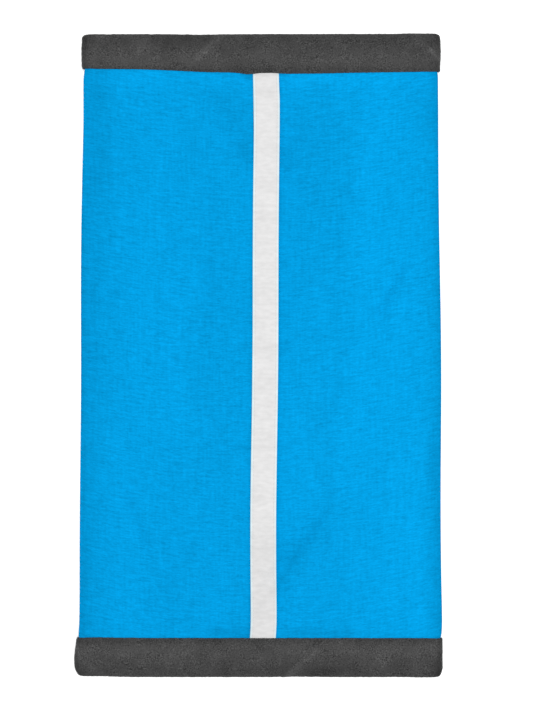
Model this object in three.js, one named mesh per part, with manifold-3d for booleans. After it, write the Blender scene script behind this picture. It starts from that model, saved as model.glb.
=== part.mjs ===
// Neck gaiter: a jersey tube lined with fleece, finished with a folded fleece cuff at each end and
// a reflective tape down the front, lying flat with its front up.
//
// Units are millimetres. The tube's length runs along Y, with the upper (face) end at +Y, X goes
// across it and Z points up. The origin is on the surface under the middle of the tube.
//
// Every layer is a flattened ring. It is turned on a lathe about Y and then pulled apart sideways,
// so that it gets a straight top and bottom and half-round folds at its two sides. A layer's radius
// is therefore half its height, and the layers nest round one middle plane.

import * as THREE from "three";
import { mergeVertices } from "three/addons/utils/BufferGeometryUtils.js";
import Module from "manifold-3d";

const wasm = await Module();
wasm.setup();

// ---- driving dimensions ----

const overallLength = 500;
const upperShellWidth = 274; // the shell's flat width where it leaves the upper cuff
const lowerShellWidth = 281; // the same at the lower cuff
const cuffHeight = 30;
const neckGap = 6; // free height inside the flat tube
const fleeceThickness = 2.2;
const jerseyThickness = 0.6;
const tapeWidth = 20;
const tapeThickness = 0.5;
const tapeOffset = 3; // how far right of the middle the tape comes to lie
const seamAllowance = 10; // how far the shell and the tape reach into the cuffs
const threadDiameter = 0.4;
const stitchInset = 2; // from the tape's edge to its row of stitches
const joinWidth = 2; // the gap between the butted edges of a sewn piece
const overlockWidth = 2;
const clearance = 0.3; // between any two layers

const sideFacets = 12; // round each folded side, an even number
const arcDivisions = 4; // half the facets of each arc in a cuff's outline

// ---- layers, as half heights from the middle plane outwards ----

const liningInner = neckGap / 2;
const liningOuter = liningInner + fleeceThickness;
const shellInner = liningOuter + clearance;
const shellOuter = shellInner + jerseyThickness;
const cuffInner = shellOuter + clearance;
const cuffOuter = cuffInner + fleeceThickness;
const tapeBottom = shellOuter + clearance;
const tapeTop = tapeBottom + tapeThickness;

// ---- stations along the tube, as distances from its middle ----

const tubeEnd = overallLength / 2;
const cuffEdge = tubeEnd - cuffHeight;
const liningEnd = cuffEdge - clearance;
const shellEnd = cuffEdge + seamAllowance;
const overlockEnd = shellEnd + clearance + overlockWidth;

// ---- materials ----

function cloth(color, roughness) {
  return new THREE.MeshStandardMaterial({ color, roughness, metalness: 0 });
}

const blueJersey = cloth(0x04a0e4, 0.9);
const charcoalFleece = cloth(0x494949, 1.0);
const reflectiveTape = cloth(0xe7e7e7, 0.5);
const whiteThread = cloth(0xdcdcdc, 0.8);
const blueThread = cloth(0x0590d0, 0.8);
const charcoalThread = cloth(0x3a3a3a, 0.9);

// ---- helpers ----

// Half the width of a layer's straight part. It is the same for every layer, so they nest.
function halfFlatAt(y) {
  const upper = upperShellWidth / 2 - shellOuter;
  const lower = lowerShellWidth / 2 - shellOuter;
  return THREE.MathUtils.mapLinear(y, -cuffEdge, cuffEdge, lower, upper);
}

// A closed outline of (half height, y) points, made into a flattened ring. The lathe's first facet
// straddles the middle, and it becomes the straight top once the two halves are pulled apart.
function flattenedRing(outline) {
  const facets = 2 * (sideFacets + 1);
  const halfStep = Math.PI / facets;
  const ring = outline.map((p) => new THREE.Vector2(p.x / Math.cos(halfStep), p.y));
  const geometry = new THREE.LatheGeometry([...ring, ring[0]], facets, halfStep);
  const place = geometry.getAttribute("position");
  for (let i = 0; i < place.count; i++) {
    const x = place.getX(i);
    place.setX(i, x + Math.sign(x) * halfFlatAt(place.getY(i)));
  }
  return geometry;
}

// The outline of a plain tube wall between two half heights and two stations.
function wall(inner, outer, from, to) {
  return [
    new THREE.Vector2(inner, from),
    new THREE.Vector2(outer, from),
    new THREE.Vector2(outer, to),
    new THREE.Vector2(inner, to),
  ];
}

// The outline of the upper cuff: a fleece band folded in two over the tube's end. Its outer leg
// covers the shell's edge, its inner leg carries on from the lining, and both have round edges.
function upperCuffOutline() {
  const legRadius = fleeceThickness / 2;
  const foldCentre = (liningInner + cuffOuter) / 2;
  const foldRadius = (cuffOuter - liningInner) / 2;
  const slotRadius = foldRadius - fleeceThickness;
  const foldY = tubeEnd - foldRadius;
  const legY = cuffEdge + legRadius;
  return new THREE.Path()
    .absarc(cuffInner + legRadius, legY, legRadius, Math.PI, 2 * Math.PI)
    .absarc(foldCentre, foldY, foldRadius, 0, Math.PI)
    .absarc(liningInner + legRadius, legY, legRadius, Math.PI, 2 * Math.PI)
    .absarc(foldCentre, foldY, slotRadius, Math.PI, 0, true)
    .getPoints(arcDivisions);
}

// The same outline at the tube's other end, turned so that its faces still point outwards.
function mirrored(outline) {
  return outline.map((p) => new THREE.Vector2(p.x, -p.y)).reverse();
}

function solidOf(geometry) {
  const bare = geometry.clone().deleteAttribute("normal").deleteAttribute("uv");
  const merged = mergeVertices(bare, 1e-4);
  return new wasm.Manifold(
    new wasm.Mesh({
      numProp: 3,
      vertProperties: merged.getAttribute("position").array,
      triVerts: new Uint32Array(merged.index.array),
    }),
  );
}

function geometryOf(solid) {
  const { vertProperties, triVerts } = solid.getMesh();
  return new THREE.BufferGeometry()
    .setAttribute("position", new THREE.BufferAttribute(vertProperties, 3))
    .setIndex(new THREE.BufferAttribute(triVerts, 1));
}

function block(minX, maxX, minY, maxY, minZ, maxZ) {
  const size = [maxX - minX, maxY - minY, maxZ - minZ];
  const centre = [(minX + maxX) / 2, (minY + maxY) / 2, (minZ + maxZ) / 2];
  return new THREE.BoxGeometry(...size).translate(...centre);
}

// A block that runs the tube's whole length and past both ends, for cutting.
function lengthwiseBlock(centreX, width, minZ, maxZ) {
  const beyond = tubeEnd + 1;
  return block(centreX - width / 2, centreX + width / 2, -beyond, beyond, minZ, maxZ);
}

const gaiter = new THREE.Group();
gaiter.position.z = cuffOuter;

function add(name, geometry, material) {
  const mesh = new THREE.Mesh(geometry, material);
  mesh.name = name;
  gaiter.add(mesh);
}

// ---- shell ----

// One panel of jersey, wrapped round until its two edges meet under the tape.
function addShell() {
  const tube = solidOf(flattenedRing(wall(shellInner, shellOuter, -shellEnd, shellEnd)));
  const opening = solidOf(lengthwiseBlock(tapeOffset, joinWidth, 0, cuffOuter));
  add("shell_panel", geometryOf(tube.subtract(opening)), blueJersey);

  const half = joinWidth / 2 - clearance;
  const seam = block(
    tapeOffset - half, tapeOffset + half, -shellEnd, shellEnd, shellInner, shellOuter,
  );
  add("shell_seam_thread", seam, blueThread);
}

// The overlocked raw edge of the shell, hidden in the fold of each cuff.
function addOverlocks() {
  const outline = wall(shellInner, shellOuter, shellEnd + clearance, overlockEnd);
  add("upper_edge_overlock", flattenedRing(outline), blueThread);
  add("lower_edge_overlock", flattenedRing(mirrored(outline)), blueThread);
}

// ---- lining ----

// A fleece panel closed into a tube by one seam down the back.
function addLining() {
  const tube = solidOf(flattenedRing(wall(liningInner, liningOuter, -liningEnd, liningEnd)));
  const opening = solidOf(lengthwiseBlock(0, joinWidth, -cuffOuter, 0));
  add("fleece_lining", geometryOf(tube.subtract(opening)), charcoalFleece);

  const half = joinWidth / 2 - clearance;
  const seam = block(-half, half, -liningEnd, liningEnd, -liningOuter, -liningInner);
  add("lining_seam_thread", seam, charcoalThread);
}

// ---- cuffs ----

// A folded fleece band, joined into a ring at the back, with a recess where the tape goes under it.
function addCuff(name, outline, end) {
  const ring = solidOf(flattenedRing(outline));
  const opening = solidOf(lengthwiseBlock(0, joinWidth, -cuffOuter - 1, 0));
  const join = solidOf(lengthwiseBlock(0, joinWidth - 2 * clearance, -cuffOuter - 1, 0));

  const recessHalf = tapeWidth / 2 + clearance;
  const recessEnds = [end * (cuffEdge - 1), end * (shellEnd + clearance)];
  const recess = solidOf(
    block(
      tapeOffset - recessHalf, tapeOffset + recessHalf,
      Math.min(...recessEnds), Math.max(...recessEnds),
      shellOuter, tapeTop + clearance,
    ),
  );
  add(name, geometryOf(ring.subtract(opening).subtract(recess)), charcoalFleece);
  add(name + "_join_thread", geometryOf(ring.intersect(join)), charcoalThread);
}

// ---- reflective tape ----

// The tape lies over the shell's seam and ends inside the cuffs, with a stitch row along each edge.
function addTape() {
  const left = tapeOffset - tapeWidth / 2;
  const right = tapeOffset + tapeWidth / 2;
  add(
    "reflective_tape",
    block(left, right, -shellEnd, shellEnd, tapeBottom, tapeTop),
    reflectiveTape,
  );

  const radius = threadDiameter / 2;
  for (const [side, x] of [["left", left + stitchInset], ["right", right - stitchInset]]) {
    const row = new THREE.CylinderGeometry(radius, radius, 2 * (cuffEdge - clearance), 8);
    row.translate(x, 0, tapeTop + clearance + radius);
    add("tape_stitch_" + side, row, whiteThread);
  }
}

addShell();
addOverlocks();
addLining();
addCuff("upper_cuff", upperCuffOutline(), 1);
addCuff("lower_cuff", mirrored(upperCuffOutline()), -1);
addTape();

export default gaiter;
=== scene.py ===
# %% [markdown]
# # A neck gaiter, laid flat
#
# The real thing is a tube of blue stretch jersey lined with charcoal fleece. A folded fleece cuff
# finishes each end, and a pale reflective tape is sewn down the front, over the jersey's seam.
#
# It is all cloth, so nothing here is a hard shape. A cutter's flat pattern, a sewn tube and a tube
# that lies on a table are three states of the same cloth. This script works out the last one once,
# as a rule that says where any point of any layer comes to lie, and then every piece is made by
# that one rule. Layers made by one rule follow each other's folds and keep out of each other.

# %% Load the frame
import math

import bmesh
import bpy
import numpy as np
from mathutils import Matrix, Vector, noise


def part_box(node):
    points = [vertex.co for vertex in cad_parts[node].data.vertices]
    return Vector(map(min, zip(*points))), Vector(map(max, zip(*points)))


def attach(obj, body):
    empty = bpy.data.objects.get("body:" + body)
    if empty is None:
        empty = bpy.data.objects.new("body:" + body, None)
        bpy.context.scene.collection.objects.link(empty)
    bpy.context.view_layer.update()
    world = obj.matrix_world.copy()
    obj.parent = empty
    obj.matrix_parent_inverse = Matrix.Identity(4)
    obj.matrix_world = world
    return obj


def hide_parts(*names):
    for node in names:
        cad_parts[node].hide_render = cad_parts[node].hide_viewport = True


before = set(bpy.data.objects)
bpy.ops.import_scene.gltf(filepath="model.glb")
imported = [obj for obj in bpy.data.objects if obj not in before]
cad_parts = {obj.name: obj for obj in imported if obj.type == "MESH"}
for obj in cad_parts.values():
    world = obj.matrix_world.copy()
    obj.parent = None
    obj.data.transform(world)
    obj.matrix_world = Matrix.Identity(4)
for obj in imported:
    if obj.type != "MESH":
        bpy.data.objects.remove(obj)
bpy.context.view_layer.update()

MM = 0.001
print("nodes in the frame:", len(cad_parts))

# %% [markdown]
# ## Sizes
#
# Every size that the frame knows is read from it. The tube's length runs along Y, and a layer is
# known by how far it lies from the tube's middle plane. A box doesn't tell how thick a wall is, so
# the thicknesses of the two cloths are given here, as a cutter would read them off the bolt.

# %% Sizes from the frame
upper_cuff_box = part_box("upper_cuff")
shell_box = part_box("shell_panel")
lining_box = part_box("fleece_lining")
tape_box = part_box("reflective_tape")


def depth(box):
    """How thick a box is, from its bottom to its top."""
    return box[1][2] - box[0][2]


tube_end = upper_cuff_box[1][1]
cuff_edge = upper_cuff_box[0][1]
shell_end = shell_box[1][1]
lining_end = lining_box[1][1]
cuff_outer = depth(upper_cuff_box) / 2
shell_outer = depth(shell_box) / 2
lining_outer = depth(lining_box) / 2
tape_thickness = depth(tape_box)
tape_width = tape_box[1][0] - tape_box[0][0]
middle_height = cuff_outer      # the thick cuffs lie on the table and hold the middle plane up
print("tube end, cuff edge, mm:", round(tube_end / MM, 1), round(cuff_edge / MM, 1))

# %% Layers
FLEECE = 2.2 * MM
JERSEY = 0.6 * MM
TAPE_GAP = 0.1 * MM     # between the shell and the tape that is sewn on it
cuff_inner = cuff_outer - FLEECE
lining_inner = lining_outer - FLEECE
shell_inner = shell_outer - JERSEY
shell_middle = shell_outer - JERSEY / 2
tape_under = shell_outer + TAPE_GAP
tape_top = tape_under + tape_thickness
print("layers from the middle plane, mm:", [round(v / MM, 2) for v in (
    lining_inner, lining_outer, shell_inner, shell_outer, cuff_inner, cuff_outer)])

# %% [markdown]
# ## How the tube lies
#
# A tube laid flat has a front, a back and a tight half-round fold down each side. Between the thick
# cuffs the thinner body sinks until its back lies on the table. The front falls away a little
# towards the side folds and towards the two mouths, where nothing holds it up, and it has soft
# waves and a few creases from being handled.
#
# A cloth solver could drop the tube on the table, but it would not know which creases this one has,
# and it would have to keep five layers apart. So the lie of the cloth is written as one rule, out
# of two plain shapes: a soft step and a soft hump.

# %% A soft step and a soft hump
def ease(value, start, end):
    """0 before start and 1 after end, with a soft rise between. End may lie below start."""
    part = np.clip((value - start) / (end - start), 0, 1)
    return part * part * (3 - 2 * part)


def hump(value, centre, spread):
    """1 at the centre, fading to nothing about two spreads away."""
    return np.exp(-(((value - centre) / spread) ** 2))


print("a soft step's middle:", ease(0.5, 0, 1), "and a hump's shoulder:", round(hump(1, 0, 1), 2))

# %% [markdown]
# The outline comes first, because it is what the eye reads. The width tapers from the lower cuff to
# the upper one and bows a little between them. The cuffs are thick and stiff, so they hold the
# jersey in where it goes under them, and their own corners are rounded off.

# %% The outline from above
upper_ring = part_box("upper_edge_overlock")
lower_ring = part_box("lower_edge_overlock")
upper_station = (upper_ring[0][1] + upper_ring[1][1]) / 2
half_width_upper = (upper_ring[1][0] - upper_ring[0][0]) / 2
half_width_lower = (lower_ring[1][0] - lower_ring[0][0]) / 2

SIDE_BULGE = (0.9 * MM, 40 * MM, 110 * MM)      # how far, where and over what run the sides bow
BODY_SPREAD = 0.9 * MM          # the body spreads a little wider than the cuffs hold it
HOLD_RUN = 5 * MM               # and this is how soon a cuff lets go of it
CUFF_SPREAD = {1: 0.55 * MM, -1: 0.3 * MM}      # upper and lower: a cuff's own bow
CUFF_BOW = (13 * MM, 9 * MM)                    # and how far in from the mouth it is
CORNERS = {1: (0.6 * MM, 4 * MM), -1: (2.1 * MM, 11 * MM)}      # how far a mouth narrows, its run
PAST_END = 1 * MM


def half_width(along):
    """Half the width of the flat tube, at a place along it."""
    middle = (half_width_upper + half_width_lower) / 2
    slope = (half_width_upper - half_width_lower) / (2 * upper_station)
    bulge, bulge_at, bulge_run = SIDE_BULGE
    width = middle + slope * along + bulge * hump(along, bulge_at, bulge_run)
    width = width + BODY_SPREAD * ease(cuff_edge - np.abs(along), -HOLD_RUN, HOLD_RUN)
    for end in (1, -1):
        narrowed, reach = CORNERS[end]
        width = width - narrowed * ease(end * along, tube_end - reach, tube_end + PAST_END) ** 2
        inward, run = CUFF_BOW
        width = width + CUFF_SPREAD[end] * hump(end * along, tube_end - inward, run)
    return width


print("half width in the upper cuff, mm:", round(half_width(upper_station) / MM, 1))
print("half width in the lower cuff, mm:", round(half_width(-upper_station) / MM, 1))

# %% [markdown]
# The body sinks between the cuffs. Its own weight also presses some of the air out of it, so both
# halves come a little nearer to the middle plane. And as no one lays a tube down quite straight,
# the middle line strays a little to one side and back.

# %% How the body sinks and strays
THINNED = 0.3 * MM              # how much the air gap closes on each side of the middle plane
ON_TABLE = 0.15 * MM            # a back that rests on the table still has its nap under it
SETTLE_RUN = (1 * MM, 48 * MM)  # how far from a cuff the sinking starts and ends
WANDER = (0.35 * MM, 15 * MM, 240 * MM)         # how far the body strays, its phase and its length
DRIFT_RUN = (205 * MM, 240 * MM)
UPPER_DRIFT = 0.35 * MM         # the upper cuff lies a little to the right
LOWER_DRIFT = -1.9 * MM         # the lower one further to the left
LOWER_RETURN = 0.7 * MM         # and its mouth not as far
RETURN_RUN = (236 * MM, 250 * MM)


def settled(along):
    """How far the body has sunk: 0 at the cuffs, 1 where it lies on the table."""
    return ease(cuff_edge - np.abs(along), *SETTLE_RUN)


def core_height(along):
    """The height of the tube's middle plane over the table."""
    low = ON_TABLE + shell_outer - THINNED
    return middle_height + (low - middle_height) * settled(along)


def drift(along):
    """How far the tube's middle line strays to the right."""
    size, start, length = WANDER
    wander = size * np.cos(2 * np.pi * (along + start) / length) * settled(along)
    upper = UPPER_DRIFT * ease(along, *DRIFT_RUN)
    lower = LOWER_DRIFT * ease(-along, *DRIFT_RUN) + LOWER_RETURN * ease(-along, *RETURN_RUN)
    return wander + upper + lower


print("middle plane's height in the cuffs and half way, mm:",
      round(middle_height / MM, 2), round(float(core_height(0.0)) / MM, 2))

# %% [markdown]
# The tape is straight in the cut cloth. Sewn to a stretchy jersey it strays: a little to the right
# on its way up, and back again where the upper cuff holds it.

# %% Where the tape runs
TAPE_ASTRAY = (2.3 * MM, -150 * MM, 180 * MM)   # how far to the right, from where to where
TAPE_BACK = (0.7 * MM, 196 * MM, 222 * MM)      # and how far back again
TAPE_START = -0.7 * MM
tape_middle = (tape_box[0][0] + tape_box[1][0]) / 2


def tape_line(along):
    """Where the middle of the tape lies across the tube."""
    astray, *astray_run = TAPE_ASTRAY
    back, *back_run = TAPE_BACK
    strayed = astray * ease(along, *astray_run) - back * ease(along, *back_run)
    return tape_middle + strayed + TAPE_START


print("tape's middle at the lower and upper cuff, mm:",
      [round(float(tape_line(y)) / MM, 2) for y in (-cuff_edge, cuff_edge)])

# %% [markdown]
# Folds and creases are drawn as a tailor would chalk them: each one is a short line on the flat
# tube with a width and a height. Broad and low ones are the swells of the cloth, narrow ones are
# creases. Where the long crease crosses the tape, the stiffer tape takes it up as a kink.

# %% Folds and creases of the front
# Each line is: where it starts and ends (x, y), its width and its height, all in millimetres.
# A negative height is a valley.
BROAD_FOLDS = [
    ((66, 190), (50, -75), 18, 1.8),
    ((-58, 110), (-66, -200), 22, -1.2),
    ((114, 60), (112, -120), 18, 0.9),
    ((30, 175), (38, 120), 14, -1.2),
    ((-118, 150), (-112, 60), 16, -0.9),
]
CREASES = [
    ((110, 68), (93, 34), 3.0, -1.6),           # thin ones, from handling
    ((-104, -106), (-88, -152), 3.0, -1.5),
    ((118, 58), (100, 20), 7, 0.8),
    ((46, -124), (10, -176), 7, -2.0),          # the long one that runs on over the tape
    ((62, -114), (24, -172), 8, 2.2),
    ((6, -180), (-8, -196), 6, -1.2),
    ((-42, 198), (-11, 158), 7, -1.3),          # dips beside the tape, below the upper cuff
    ((21, 176), (24, 146), 7, -1.7),
    ((-6, 221), (-16, 214), 5, -1.6),
    ((-36, -208), (-14, -215), 5, -1.6),        # and above the lower one
    ((16, -208), (64, -213), 5, -1.1),
    ((-30, 249), (-48, 229), 3, 1.5),           # slanting folds in the cuffs
    ((-46, 251), (-70, 236), 8, -1.2),
    ((42, -226), (19, -249), 3, 1.5),
    ((62, -236), (34, -252), 8, -1.2),
    ((122, 243), (139, 228), 3, 1.3),
    ((-146, -226), (-134, -241), 3, 1.3),
    ((-94, 234), (-90, 240), 5, 0.7),
    ((92, -234), (96, -238), 5, 0.7),
]
KINKS = [217.4, 204, 6, -72, -141, -203]        # where the tape has been bent across
print("folds:", len(BROAD_FOLDS), "creases:", len(CREASES), "kinks:", len(KINKS))


def crease(x, y, start, end, width, height):
    """The height of one line of a list at (x, y). Its places and its width are in millimetres."""
    start, end = np.array(start) * MM, np.array(end) * MM
    run = end - start
    part = np.clip(((x - start[0]) * run[0] + (y - start[1]) * run[1]) / run.dot(run), 0, 1)
    away = np.hypot(x - start[0] - part * run[0], y - start[1] - part * run[1])
    return height * hump(away, 0, width * MM)


# %% Waves, and the fall towards the sides and the mouths
LONG_WAVES = (0.8 * MM, 70 * MM, 3.1)           # height, length and seed
SHORT_WAVES = (0.35 * MM, 24 * MM, 7.7)
HELD_STILL = 0.3                # how much of the long waves the cuffs let through
SIDE_FALLS = {-1: (5.2 * MM, 30 * MM), 1: (5.2 * MM, 17 * MM)}  # left and right: how far, how wide
SIDE_CURVE = 1.4
MOUTH_FALL = 4.4 * MM
MOUTH_RUN = 27 * MM
MOUTH_CURVE = 1.8
MOUTH_MOST = 1.2                # the fall goes on a little past the tube's end


def waves(x, y, length, seed):
    """A smooth random height from -1 to 1, the same at every run."""
    points = zip((x / length).tolist(), (y / length).tolist())
    return np.array([noise.noise(Vector((a, b, seed))) for a, b in points])


def side_fall(x, y):
    """How far the front falls near its two side folds."""
    total = 0
    for side, (fall, run) in SIDE_FALLS.items():
        total += fall * np.clip((side * x - half_width(y) + run) / run, 0, 1) ** SIDE_CURVE
    return total


def mouth_fall(y):
    """How far the front falls near its two mouths."""
    past = np.clip((np.abs(y) - (tube_end - MOUTH_RUN)) / MOUTH_RUN, 0, MOUTH_MOST)
    return MOUTH_FALL * past**MOUTH_CURVE


print("the front falls at its very end, mm:", round(float(mouth_fall(tube_end)) / MM, 2))

# %% How far the front rises
KINK_DEPTH = 0.36 * MM
KINK_WIDTH = 1.7 * MM
KINK_SLANT = 0.1                # how much a kink climbs for each step to the right
KINK_REACH = 0.7                # of the tape's width, on each side of its middle
AIR_LEFT = 0.4 * MM             # between front and back, where the front has fallen on to it
SOFT_STOP = 0.3 * MM


def rise(x, y):
    """How far the front lies above its flat place. It can fall no further than on to the back."""
    height = -mouth_fall(y) - side_fall(x, y)
    tall, length, seed = LONG_WAVES
    height += tall * waves(x, y, length, seed) * (HELD_STILL + (1 - HELD_STILL) * settled(y))
    tall, length, seed = SHORT_WAVES
    height += tall * waves(x, y, length, seed) * settled(y)
    for line in BROAD_FOLDS + CREASES:
        height += crease(x, y, *line) * MM
    beside = hump(x, tape_line(y), tape_width * KINK_REACH)
    for kink in KINKS:
        height -= KINK_DEPTH * beside * hump(y, kink * MM + KINK_SLANT * x, KINK_WIDTH)
    room = 2 * (lining_inner - THINNED * settled(y)) - AIR_LEFT
    return SOFT_STOP * np.logaddexp(0, (height + room) / SOFT_STOP) - room


print("the front's middle rises, mm:", round(float(rise(np.zeros(1), np.zeros(1))[0]) / MM, 2))

# %% [markdown]
# Now the rule itself. A point of the sewn tube is known by three numbers: how far round the tube it
# is, how far along, and how far out from the middle plane. The rule walks round the flat front, the
# half-round fold and the flat back, and adds the rise to the front only. Halfway round a fold the
# rise has faded to half, so the cloth turns over without a step.

# %% The rule that lays every layer
def half_girth(along):
    """Half the way round the tube, measured in the middle of the jersey."""
    sunk = THINNED * settled(along)
    return 2 * (half_width(along) - shell_outer + sunk) + np.pi * (shell_middle - sunk)


def lay(around, along, out):
    """Where a point comes to lie: around the tube from the front's middle, along it, and out from
    the middle plane."""
    sunk = THINNED * settled(along)
    fold = shell_middle - sunk
    flat = half_width(along) - shell_outer + sunk
    girth = 2 * half_girth(along)
    arc = (around + girth / 2) % girth - girth / 2
    side, arc = np.where(arc < 0, -1, 1), np.abs(arc)
    turn = np.clip((arc - flat) / fold, 0, np.pi)
    run = np.where(arc < flat, arc, np.where(turn < np.pi, flat, 2 * flat + np.pi * fold - arc))
    level = out - sunk
    x = side * (run + level * np.sin(turn))
    z = core_height(along) + level * np.cos(turn)
    front = (1 + np.cos(turn)) / 2
    z = z + front * rise(side * (run + fold * np.sin(turn)), along)
    return np.stack([x + drift(along), along, z], axis=1)


half_turn = float(half_girth(np.array([0.0]))[0])
print("tube girth at its middle, mm:", round(2 * half_turn / MM, 1))

# %% [markdown]
# ## Cutting and wrapping a cloth
#
# Jersey and fleece have thickness, and their edges show it, so each piece is a closed skin: an
# outer face, an inner face and the edges between. A flat grid is the natural start, because its
# columns can be the cloth's wales and its rows its courses, and its flat coordinates are kept as
# the texture coordinates, in metres. A lathe could turn a tube too, but its texture would have to
# be unrolled again. The grid's rows are wrapped round the cloth's own section, its columns round
# the tube, and its loose edges are closed at the join.

# %% Sections of a wall
ROUNDED = 0.3           # the share of a cut edge's thickness that is rounded off
ROUNDED_MOST = 0.5 * MM
EDGE_STEP = 1 * MM


def straight(start, end, step):
    """Points from start to just before end, about a step apart."""
    count = max(1, round(math.dist(start, end) / step))
    parts = [i / count for i in range(count)]
    return [tuple(a + (b - a) * t for a, b in zip(start, end)) for t in parts]


def arc(centre, radius, start, end, step):
    """Points round a centre, from one angle to just before the other."""
    count = max(2, round(radius * abs(end - start) / step))
    angles = [start + (end - start) * i / count for i in range(count)]
    return [(centre[0] + radius * math.cos(a), centre[1] + radius * math.sin(a)) for a in angles]


def tube_section(inner, outer, end, outer_step, inner_step):
    """The wall of a plain tube as (out, along) points, with slightly rounded ends."""
    corner = min((outer - inner) * ROUNDED, ROUNDED_MOST)
    return (
        straight((outer, -end + corner), (outer, end - corner), outer_step)
        + straight((outer, end - corner), (outer - corner, end), corner)
        + straight((outer - corner, end), (inner + corner, end), EDGE_STEP)
        + straight((inner + corner, end), (inner, end - corner), corner)
        + straight((inner, end - corner), (inner, -end + corner), inner_step)
        + straight((inner, -end + corner), (inner + corner, -end), corner)
        + straight((inner + corner, -end), (outer - corner, -end), EDGE_STEP)
        + straight((outer - corner, -end), (outer, -end + corner), corner)
    )


print("points round a short wall:", len(tube_section(0, JERSEY, 5 * MM, 1 * MM, 1 * MM)))

# %% Wrapping a cloth round the tube
MERGE = 1e-7            # metres: the two edges of the grid that meet after a full turn
SAMPLES = 4001
AT_FOLD = 0.5           # half turns from the front's middle to a side fold
FOLD_SPREAD = 0.045     # half turns: how wide the finer columns are there


def wrap(name, section, spread, place):
    """A mesh from a flat grid: its rows follow the section, its columns the spread."""
    rows, columns = len(section), len(spread) - 1
    bm = bmesh.new()
    bm.loops.layers.uv.new("cloth")
    bmesh.ops.create_grid(bm, x_segments=columns, y_segments=rows, size=1, calc_uvs=True)
    mesh = bpy.data.meshes.new(name)
    bm.to_mesh(mesh)
    bm.free()

    flat = np.empty(3 * len(mesh.vertices))
    mesh.vertices.foreach_get("co", flat)
    part = (flat.reshape(-1, 3) + 1) / 2
    column = np.rint(part[:, 0] * columns).astype(int)
    row = np.rint(part[:, 1] * rows).astype(int)
    closed = np.array(section + section[:1])
    out, along = closed[row].T
    around = np.array(spread)[column]
    mesh.vertices.foreach_set("co", place(around, along, out).ravel())

    measured = np.concatenate([[0], np.cumsum(np.hypot(*np.diff(closed, axis=0).T))])
    corner = np.empty(len(mesh.loops), int)
    mesh.loops.foreach_get("vertex_index", corner)
    uv = np.stack([around[corner] * half_turn, measured[row[corner]]], axis=1)
    mesh.uv_layers["cloth"].data.foreach_set("uv", uv.ravel())

    bm = bmesh.new()
    bm.from_mesh(mesh)
    bmesh.ops.remove_doubles(bm, verts=bm.verts, dist=MERGE)
    loose = [edge for edge in bm.edges if edge.is_boundary]
    bmesh.ops.holes_fill(bm, edges=loose, sides=0)
    bmesh.ops.recalc_face_normals(bm, faces=bm.faces)
    bm.to_mesh(mesh)
    bm.free()
    print(name, "faces:", len(mesh.polygons))
    return mesh


def gathered_spread(start, end, count, closeness):
    """Column places from start to end, in half turns, closer together at the two side folds."""
    fine = np.linspace(start, end, SAMPLES)
    wrapped = np.abs((fine + 1) % 2 - 1)
    density = 1 + closeness * hump(wrapped, AT_FOLD, FOLD_SPREAD)
    total = np.concatenate([[0], np.cumsum((density[1:] + density[:-1]) / 2)])
    return np.interp(np.linspace(0, total[-1], count + 1), total, fine)


def around_whole_tube(start):
    """Turns a column's place, in half turns, into a distance round the tube."""
    def place(around, along, out):
        return lay(start(along) + around * half_girth(along), along, out)
    return place


# %% A finished piece
def new_object(name, mesh, nodes, material):
    """Make a mesh a piece of the gaiter: its finish, its body and the nodes that it stands for."""
    piece = bpy.data.objects.new(name, mesh)
    bpy.context.scene.collection.objects.link(piece)
    mesh.materials.append(material)
    mesh.shade_smooth()
    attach(piece, "root")
    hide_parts(*nodes)
    print(name, "stands for:", ", ".join(nodes))
    return piece


# %% [markdown]
# ## Painted light and shade
#
# Both cloths are brushed. Their colour also carries painted light and shade: painted shade where
# the cloth turns over at the side folds, in creases, over the fleece's rounded mouths and at the
# cuffs' sewn edges, and painted highlights on the sides of folds that face the light. The fleece
# also gets soft random mottle. One could paint an image for this. Here a number on every vertex
# says how much paler the cloth is at that spot, and the materials read it.

# %% Lay the painted light and shade
FRONT_ABOVE = 0.35      # of the middle plane's height: what lies lower is back, and keeps one tone


def from_side(x, y):
    """How far a spot lies inwards from the nearer side fold."""
    return half_width(y) - np.abs(x - drift(y))


def paint_light_and_tone(mesh, bands, tone_at=None):
    """Set how much paler each vertex of the front is: painted light and shade, and random tone."""
    place = np.empty(3 * len(mesh.vertices))
    mesh.vertices.foreach_get("co", place)
    x, y, z = place.reshape(-1, 3).T
    front = z > middle_height * FRONT_ABOVE
    tone = sum(crease(x, y, *band) for band in bands) * front
    if tone_at:
        tone = tone + tone_at(x, y, front)
    painted_light_and_tone = mesh.attributes.new("painted_light_and_tone", "FLOAT", "POINT")
    painted_light_and_tone.data.foreach_set("value", (tone / 100).astype(np.float32))
    print(mesh.name, "nap in per cent, darkest and palest:", round(tone.min()), round(tone.max()))


# %% [markdown]
# ## Materials
#
# Cloth scatters light and hardly shines, so all of these are rough with next to no gloss. What
# makes each of them itself is its small relief and its uneven colour. Each colour is one base
# colour times a factor round 1, so a finish is built by adding effects to that factor. Effects
# that several finishes share are node groups with their own inputs.

# %% Node helpers
def add(tree, kind, inputs=None, **settings):
    """A new node. An input is either a value or another node's output, which is then linked."""
    node = tree.nodes.new(kind)
    for key, value in settings.items():
        setattr(node, key, value)
    for key, value in (inputs or {}).items():
        if isinstance(value, bpy.types.NodeSocket):
            tree.links.new(value, node.inputs[key])
        else:
            node.inputs[key].default_value = value
    return node


def calc(tree, operation, first, second=0.0, third=0.0):
    """The result of a sum on up to three values."""
    inputs = {0: first, 1: second, 2: third}
    return add(tree, "ShaderNodeMath", inputs, operation=operation).outputs[0]


def about(tree, value, amount, base=1.0):
    """base + amount * (value - 0.5), for a value that wanders round a half."""
    swing = calc(tree, "SUBTRACT", value, 0.5)
    return calc(tree, "MULTIPLY_ADD", swing, amount, base)


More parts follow.
